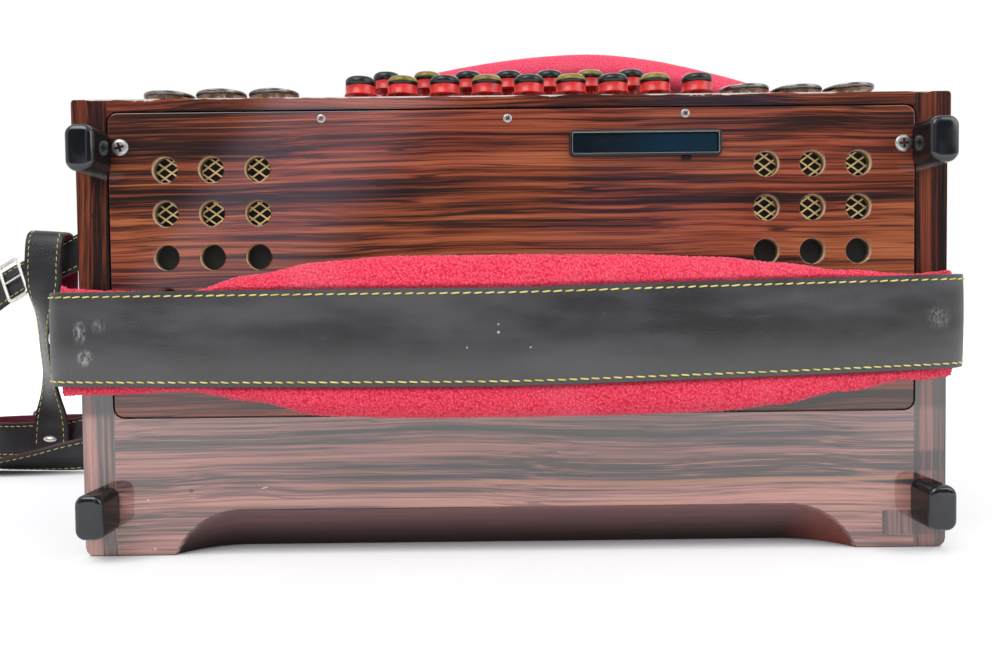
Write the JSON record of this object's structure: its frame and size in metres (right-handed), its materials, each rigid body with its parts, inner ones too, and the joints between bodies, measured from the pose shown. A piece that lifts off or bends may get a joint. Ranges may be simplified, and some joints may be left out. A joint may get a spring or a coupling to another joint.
{
  "type": "button accordion",
  "caption": "Diatonic button accordion: wooden casings, pleated bellows, stepped fingerboard, bass buttons, air key, helikon bells, hand strap and shoulder straps.",
  "frame": {"origin": "centre of the treble casing's back face, which rests on the ground when the instrument lies on its back", "axes": "+X towards the instrument's top, +Y from the bass end to the fingerboard, +Z out of its front face"},
  "size_m": [0.6306, 0.4015, 0.2715],
  "materials": {
    "rosewood": "glossy lacquered rosewood veneer, streaked",
    "bare_wood": "bare light wood",
    "black_gloss": "glossy black",
    "nickel": "polished nickel",
    "gold_mesh": "gold coloured expanded mesh over dark cloth",
    "leather": "smooth charcoal leather",
    "red_boucle": "curled red pile",
    "red_plastic": "polished red",
    "bellows_cloth": "folded card and cloth with sewn corners",
    "felt": "dark felt",
    "pearl": "pearly white"
  },
  "bodies": {
    "treble_side": {"treble_casing": "rosewood", "treble_cover": "rosewood", "fingerboard": "rosewood", "treble_reed_block": "bare_wood", "bellows_frame_treble": "rosewood", "bellows": "bellows_cloth", "shoulder_strap_1": "leather", "shoulder_strap_2": "leather", "shoulder_pad_1": "red_boucle", "shoulder_pad_2": "red_boucle", "strap_buckle_1": "nickel", "strap_buckle_2": "nickel", "strap_bracket_top": "nickel", "strap_bracket_bottom": "nickel", "cross_strap": "leather"},
    "bass_side": {"bass_casing": "rosewood", "bass_end_cover": "rosewood", "bass_mesh_left": "gold_mesh", "bass_mesh_right": "gold_mesh", "bass_foot_1": "black_gloss", "bass_foot_2": "black_gloss", "bass_foot_3": "black_gloss", "bass_foot_4": "black_gloss", "bass_bell_1": "nickel", "bass_bell_2": "nickel", "bass_bell_3": "nickel", "bass_bell_4": "nickel", "bass_bell_5": "nickel", "bass_bell_6": "nickel", "bass_strap": "leather", "bass_strap_pad": "red_boucle", "bass_strap_anchor": "nickel", "air_key_frame": "black_gloss", "bass_reed_block": "bare_wood", "bellows_frame_bass": "rosewood"},
    "air_valve_plunger": {"air_key": "black_gloss", "air_valve": "felt"},
    "strap_adjuster": {"bass_strap_adjuster": "nickel"},
    "bellows_strap_bottom": {"bellows_strap_bottom": "leather"},
    "bellows_strap_top": {"bellows_strap_top": "leather"},
    "treble_keys_row_1": {"treble_keys_row_1": "pearl"},
    "treble_keys_row_2": {"treble_keys_row_2": "pearl"},
    "treble_keys_row_3": {"treble_keys_row_3": "pearl"},
    "treble_keys_row_4": {"treble_keys_row_4": "pearl"},
    "bass_button_front_1": {"bass_button_front_1": "red_plastic"},
    "bass_button_front_2": {"bass_button_front_2": "red_plastic"},
    "bass_button_front_3": {"bass_button_front_3": "red_plastic"},
    "bass_button_front_4": {"bass_button_front_4": "red_plastic"},
    "bass_button_front_5": {"bass_button_front_5": "red_plastic"},
    "bass_button_front_6": {"bass_button_front_6": "red_plastic"},
    "bass_button_front_7": {"bass_button_front_7": "red_plastic"},
    "bass_button_front_8": {"bass_button_front_8": "red_plastic"},
    "bass_button_front_9": {"bass_button_front_9": "red_plastic"},
    "bass_button_back_1": {"bass_button_back_1": "red_plastic"},
    "bass_button_back_2": {"bass_button_back_2": "red_plastic"},
    "bass_button_back_3": {"bass_button_back_3": "red_plastic"},
    "bass_button_back_4": {"bass_button_back_4": "red_plastic"},
    "bass_button_back_5": {"bass_button_back_5": "red_plastic"},
    "bass_button_back_6": {"bass_button_back_6": "red_plastic"},
    "bass_button_back_7": {"bass_button_back_7": "red_plastic"}
  },
  "joints": [
    {"name": "bellows_slide", "type": "slide", "parent": "treble_side", "child": "bass_side", "axis": [0, -1, 0], "range_m": [0, 0.4], "deforming": ["bellows"]},
    {"name": "air_key_press", "type": "slide", "parent": "bass_side", "child": "air_valve_plunger", "axis": [0, 1, 0], "range_m": [0, 0.004], "stiffness_N_per_m": 80, "springref_m": -0.01},
    {"name": "strap_adjuster_turn", "type": "hinge", "parent": "bass_side", "child": "strap_adjuster", "pos_m": [-0.2064, -0.2395, 0.0985], "axis": [-1, 0, 0], "continuous": true},
    {"name": "bellows_strap_bottom_hinge", "type": "hinge", "parent": "bass_side", "child": "bellows_strap_bottom", "pos_m": [-0.1969, -0.1555, 0.045], "axis": [0, 0, 1], "range_deg": [0, 100]},
    {"name": "bellows_strap_top_hinge", "type": "hinge", "parent": "bass_side", "child": "bellows_strap_top", "pos_m": [0.1969, -0.1555, 0.045], "axis": [0, 0, -1], "range_deg": [0, 100]},
    {"name": "treble_keys_row_1_press", "type": "hinge", "parent": "treble_side", "child": "treble_keys_row_1", "pos_m": [0, 0.096, 0.068], "axis": [-1, 0, 0], "range_deg": [0, 7], "stiffness_Nm_per_rad": 0.05, "springref_deg": -34.38},
    {"name": "treble_keys_row_2_press", "type": "hinge", "parent": "treble_side", "child": "treble_keys_row_2", "pos_m": [0, 0.08, 0.074], "axis": [-1, 0, 0], "range_deg": [0, 7], "stiffness_Nm_per_rad": 0.05, "springref_deg": -34.38},
    {"name": "treble_keys_row_3_press", "type": "hinge", "parent": "treble_side", "child": "treble_keys_row_3", "pos_m": [0, 0.064, 0.08], "axis": [-1, 0, 0], "range_deg": [0, 7], "stiffness_Nm_per_rad": 0.05, "springref_deg": -34.38},
    {"name": "treble_keys_row_4_press", "type": "hinge", "parent": "treble_side", "child": "treble_keys_row_4", "pos_m": [0, 0.048, 0.086], "axis": [-1, 0, 0], "range_deg": [0, 7], "stiffness_Nm_per_rad": 0.05, "springref_deg": -34.38},
    {"name": "bass_button_front_1_press", "type": "slide", "parent": "bass_side", "child": "bass_button_front_1", "axis": [0, 0, -1], "range_m": [0, 0.0024], "stiffness_N_per_m": 60, "springref_m": -0.008},
    {"name": "bass_button_front_2_press", "type": "slide", "parent": "bass_side", "child": "bass_button_front_2", "axis": [0, 0, -1], "range_m": [0, 0.0024], "stiffness_N_per_m": 60, "springref_m": -0.008},
    {"name": "bass_button_front_3_press", "type": "slide", "parent": "bass_side", "child": "bass_button_front_3", "axis": [0, 0, -1], "range_m": [0, 0.0024], "stiffness_N_per_m": 60, "springref_m": -0.008},
    {"name": "bass_button_front_4_press", "type": "slide", "parent": "bass_side", "child": "bass_button_front_4", "axis": [0, 0, -1], "range_m": [0, 0.0024], "stiffness_N_per_m": 60, "springref_m": -0.008},
    {"name": "bass_button_front_5_press", "type": "slide", "parent": "bass_side", "child": "bass_button_front_5", "axis": [0, 0, -1], "range_m": [0, 0.0024], "stiffness_N_per_m": 60, "springref_m": -0.008},
    {"name": "bass_button_front_6_press", "type": "slide", "parent": "bass_side", "child": "bass_button_front_6", "axis": [0, 0, -1], "range_m": [0, 0.0024], "stiffness_N_per_m": 60, "springref_m": -0.008},
    {"name": "bass_button_front_7_press", "type": "slide", "parent": "bass_side", "child": "bass_button_front_7", "axis": [0, 0, -1], "range_m": [0, 0.0024], "stiffness_N_per_m": 60, "springref_m": -0.008},
    {"name": "bass_button_front_8_press", "type": "slide", "parent": "bass_side", "child": "bass_button_front_8", "axis": [0, 0, -1], "range_m": [0, 0.0024], "stiffness_N_per_m": 60, "springref_m": -0.008},
    {"name": "bass_button_front_9_press", "type": "slide", "parent": "bass_side", "child": "bass_button_front_9", "axis": [0, 0, -1], "range_m": [0, 0.0024], "stiffness_N_per_m": 60, "springref_m": -0.008},
    {"name": "bass_button_back_1_press", "type": "slide", "parent": "bass_side", "child": "bass_button_back_1", "axis": [0, 0, -1], "range_m": [0, 0.003], "stiffness_N_per_m": 60, "springref_m": -0.008},
    {"name": "bass_button_back_2_press", "type": "slide", "parent": "bass_side", "child": "bass_button_back_2", "axis": [0, 0, -1], "range_m": [0, 0.003], "stiffness_N_per_m": 60, "springref_m": -0.008},
    {"name": "bass_button_back_3_press", "type": "slide", "parent": "bass_side", "child": "bass_button_back_3", "axis": [0, 0, -1], "range_m": [0, 0.003], "stiffness_N_per_m": 60, "springref_m": -0.008},
    {"name": "bass_button_back_4_press", "type": "slide", "parent": "bass_side", "child": "bass_button_back_4", "axis": [0, 0, -1], "range_m": [0, 0.003], "stiffness_N_per_m": 60, "springref_m": -0.008},
    {"name": "bass_button_back_5_press", "type": "slide", "parent": "bass_side", "child": "bass_button_back_5", "axis": [0, 0, -1], "range_m": [0, 0.003], "stiffness_N_per_m": 60, "springref_m": -0.008},
    {"name": "bass_button_back_6_press", "type": "slide", "parent": "bass_side", "child": "bass_button_back_6", "axis": [0, 0, -1], "range_m": [0, 0.003], "stiffness_N_per_m": 60, "springref_m": -0.008},
    {"name": "bass_button_back_7_press", "type": "slide", "parent": "bass_side", "child": "bass_button_back_7", "axis": [0, 0, -1], "range_m": [0, 0.003], "stiffness_N_per_m": 60, "springref_m": -0.008}
  ]
}
